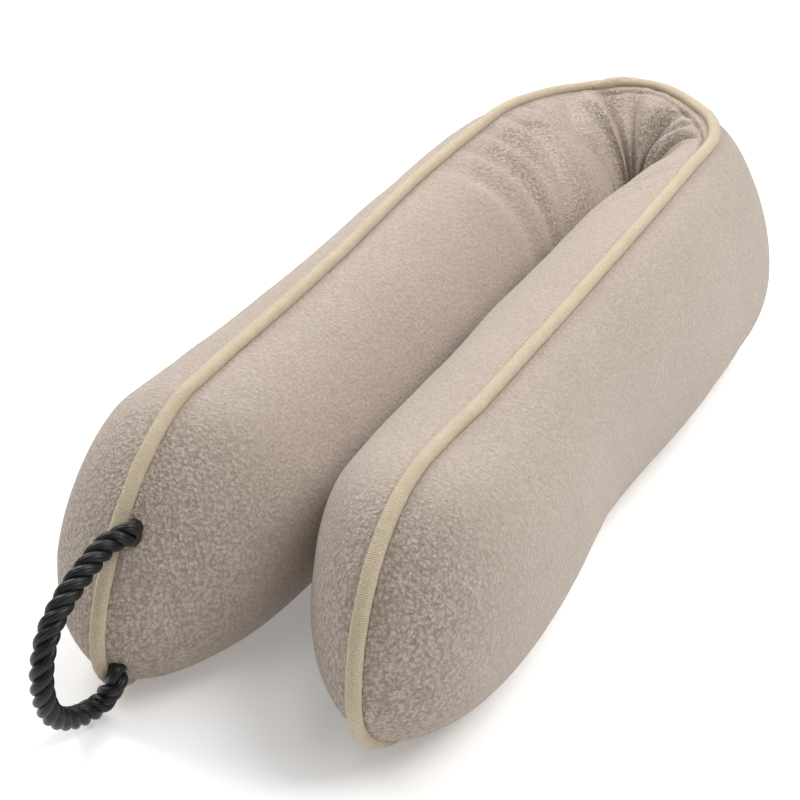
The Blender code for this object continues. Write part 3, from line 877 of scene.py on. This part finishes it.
def fleece_material():
    """Fleece: short curled pile over a darker ground, in soft patches; painted shade on faces turned forward
    and in the crease beside the piping, painted light in the valleys of the gathers.
    """
    n = Nodes("fleece")
    grain = n.noise(FLEECE_SCALE["grain"], 2.0, 0.55, 0.9)
    tufts = n.add("ShaderNodeTexVoronoi", feature="F1")
    n.put(tufts.inputs["Vector"], n.warped(FLEECE_SCALE["shift"], 0.0010))
    n.put(tufts.inputs["Scale"], FLEECE_SCALE["tufts"])
    tuft = n.spread(tufts.outputs["Distance"], 0.1, 0.8, 1.0, 0.0)
    swirl = n.noise(FLEECE_SCALE["curls"], 1.0, 0.5, 1.8)
    curl = n.spread(n.math("ABSOLUTE", n.math("SUBTRACT", swirl, 0.5)), 0.0, 0.05, 1.0, 0.0)
    fibre = n.noise(FLEECE_SCALE["fibres"], 1.0, 0.6)
    patch = n.noise(FLEECE_SCALE["patches"], 1.0)
    pile = n.math("ADD", n.math("MULTIPLY", grain, 0.75), n.math("MULTIPLY", tuft, 0.22))
    pile = n.math("ADD", pile, n.math("MULTIPLY", curl, 0.10))
    pile = n.math("ADD", pile, n.math("MULTIPLY", fibre, 0.14))
    curl_and_shade = n.attribute("curl_and_shade")
    shade = n.spread(pile, 0.30, 0.82)
    # Painted shade: the curl share widens the ground's contrast and, with its pivot above the middle, darkens
    # it
    shaded_ground = n.math("ADD", 0.5, n.math("MULTIPLY", n.math("SUBTRACT", shade, 0.57), curl_and_shade))
    ground = n.blend(shaded_ground, FLEECE["low"], FLEECE["high"])
    colour = n.blend(n.spread(patch, 0.35, 0.7, 0.0, 0.12), ground, FLEECE["patch"])
    # Painted light in the valleys of the gathers
    colour = n.blend(n.math("MULTIPLY", n.attribute("folded"), 0.6), colour, FLEECE["fold"])
    # Painted shade in the crease beside the piping
    colour = n.blend(n.math("MULTIPLY", n.attribute("crease_shade_share"), 0.8), colour, FLEECE["crease_shade"])
    height = n.math("ADD", 0.4, n.math("MULTIPLY", curl_and_shade, 0.8))
    normal = n.bump(n.math("MULTIPLY", pile, height), 0.0012)
    return n.finish(colour, 0.95, normal, specular=0.15, sheen=0.2)


def piping_material():
    """Twill of the piping: fine ribs across the cord, 0.7 mm apart, with worn patches."""
    n = Nodes("piping_cloth")
    threads = n.noise(PIPING_SCALE["threads"], 1.0)
    waver = n.math("MULTIPLY", n.noise(PIPING_SCALE["waver"], 2.0), 5.0)
    rib = n.math("SINE", n.math("ADD", n.math("MULTIPLY", n.attribute("run"), 9.0), waver))
    weave = n.math("ADD", n.math("MULTIPLY", rib, 0.22), threads)
    patch = n.noise(PIPING_SCALE["patches"], 2.0)
    shade = n.spread(weave, 0.15, 0.85)
    colour = n.blend(shade, PIPING_CLOTH["low"], PIPING_CLOTH["high"])
    colour = n.blend(n.spread(patch, 0.35, 0.7, 0.0, 0.35), colour, PIPING_CLOTH["patch"])
    normal = n.bump(weave, 0.0003, 0.8)
    return n.finish(colour, 0.8, normal, specular=0.3, sheen=0.1)


def rope_material():
    """Black satin yarn with a fine grain."""
    n = Nodes("rope_satin")
    yarn = n.noise(ROPE_SCALE["yarn"], 2.0)
    colour = n.blend(n.spread(yarn, 0.3, 0.7), ROPE_SATIN["low"], ROPE_SATIN["high"])
    normal = n.bump(n.noise(ROPE_SCALE["grain"], 1.0), 0.0002, 0.6)
    return n.finish(colour, 0.34, normal, specular=0.35)


def add_piece(name, mesh, material):
    piece = bpy.data.objects.new(name, mesh)
    bpy.context.scene.collection.objects.link(piece)
    mesh.materials.append(material)
    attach(piece, "root")
    return piece


def add_camera():
    azimuth, elevation, roll = (math.radians(x) for x in (CAMERA_AZIMUTH, CAMERA_ELEVATION, CAMERA_ROLL))
    flat = math.cos(elevation)
    back = Vector((math.sin(azimuth) * flat, -math.cos(azimuth) * flat, math.sin(elevation)))
    right = Vector((math.cos(azimuth), math.sin(azimuth), 0.0))
    up = back.cross(right)
    tilted = right * math.cos(roll) + up * math.sin(roll)
    head = up * math.cos(roll) - right * math.sin(roll)
    data = bpy.data.cameras.new("camera")
    data.lens = CAMERA_LENS
    data.sensor_width = 36.0
    camera = bpy.data.objects.new("camera", data)
    bpy.context.scene.collection.objects.link(camera)
    place = (Vector(LOOK_AT) + back * CAMERA_DISTANCE) * MM
    turn = Matrix((tilted, head, back)).transposed().to_4x4()
    camera.matrix_world = Matrix.Translation(place) @ turn
    bpy.context.scene.camera = camera


def add_lamp(name, spot, size, power):
    data = bpy.data.lights.new(name, "AREA")
    data.shape = "DISK"
    data.size = size
    data.energy = power
    lamp = bpy.data.objects.new(name, data)
    bpy.context.scene.collection.objects.link(lamp)
    lamp.location = spot
    lamp.rotation_mode = "QUATERNION"
    lamp.rotation_quaternion = (Vector(LAMP_TARGET) - Vector(spot)).to_track_quat("-Z", "Y")


def add_studio():
    """Pale floor that glows as painted light, white surroundings and soft lamps."""
    work = bmesh.new()
    bmesh.ops.create_grid(work, x_segments=1, y_segments=1, size=FLOOR_HALF_SIZE)
    floor = bpy.data.objects.new("floor", mesh_from(work, "floor"))
    bpy.context.scene.collection.objects.link(floor)
    paper = bpy.data.materials.new("floor")
    paper.use_nodes = True
    shader = paper.node_tree.nodes["Principled BSDF"]
    shader.inputs["Base Color"].default_value = (FLOOR_WHITE, FLOOR_WHITE, FLOOR_WHITE, 1.0)
    shader.inputs["Roughness"].default_value = 0.9
    # The floor's glow is painted light: it lifts the shadows on the floor and lights the cover from below.
    shader.inputs["Emission Color"].default_value = (1.0, 1.0, 1.0, 1.0)
    shader.inputs["Emission Strength"].default_value = FLOOR_GLOW
    floor.data.materials.append(paper)
    world = bpy.data.worlds.new("studio")
    world.use_nodes = True
    sky = world.node_tree.nodes["Background"]
    sky.inputs["Color"].default_value = (1.0, 1.0, 1.0, 1.0)
    sky.inputs["Strength"].default_value = SKY_STRENGTH
    bpy.context.scene.world = world
    bpy.context.scene.view_settings.view_transform = "Standard"
    for lamp in LAMPS:
        add_lamp(**lamp)


add_camera()

centres, places, flats = rope_path()
rope = add_piece("rope", rope_mesh(centres, places, flats), rope_material())
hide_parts("rope_loop")

rows = loop_rows()
cover = add_piece("cover", body_mesh(rows), fleece_material())
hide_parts("body")

piping = add_piece("seam_piping", piping_mesh(rows), piping_material())
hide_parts("piping")

add_studio()
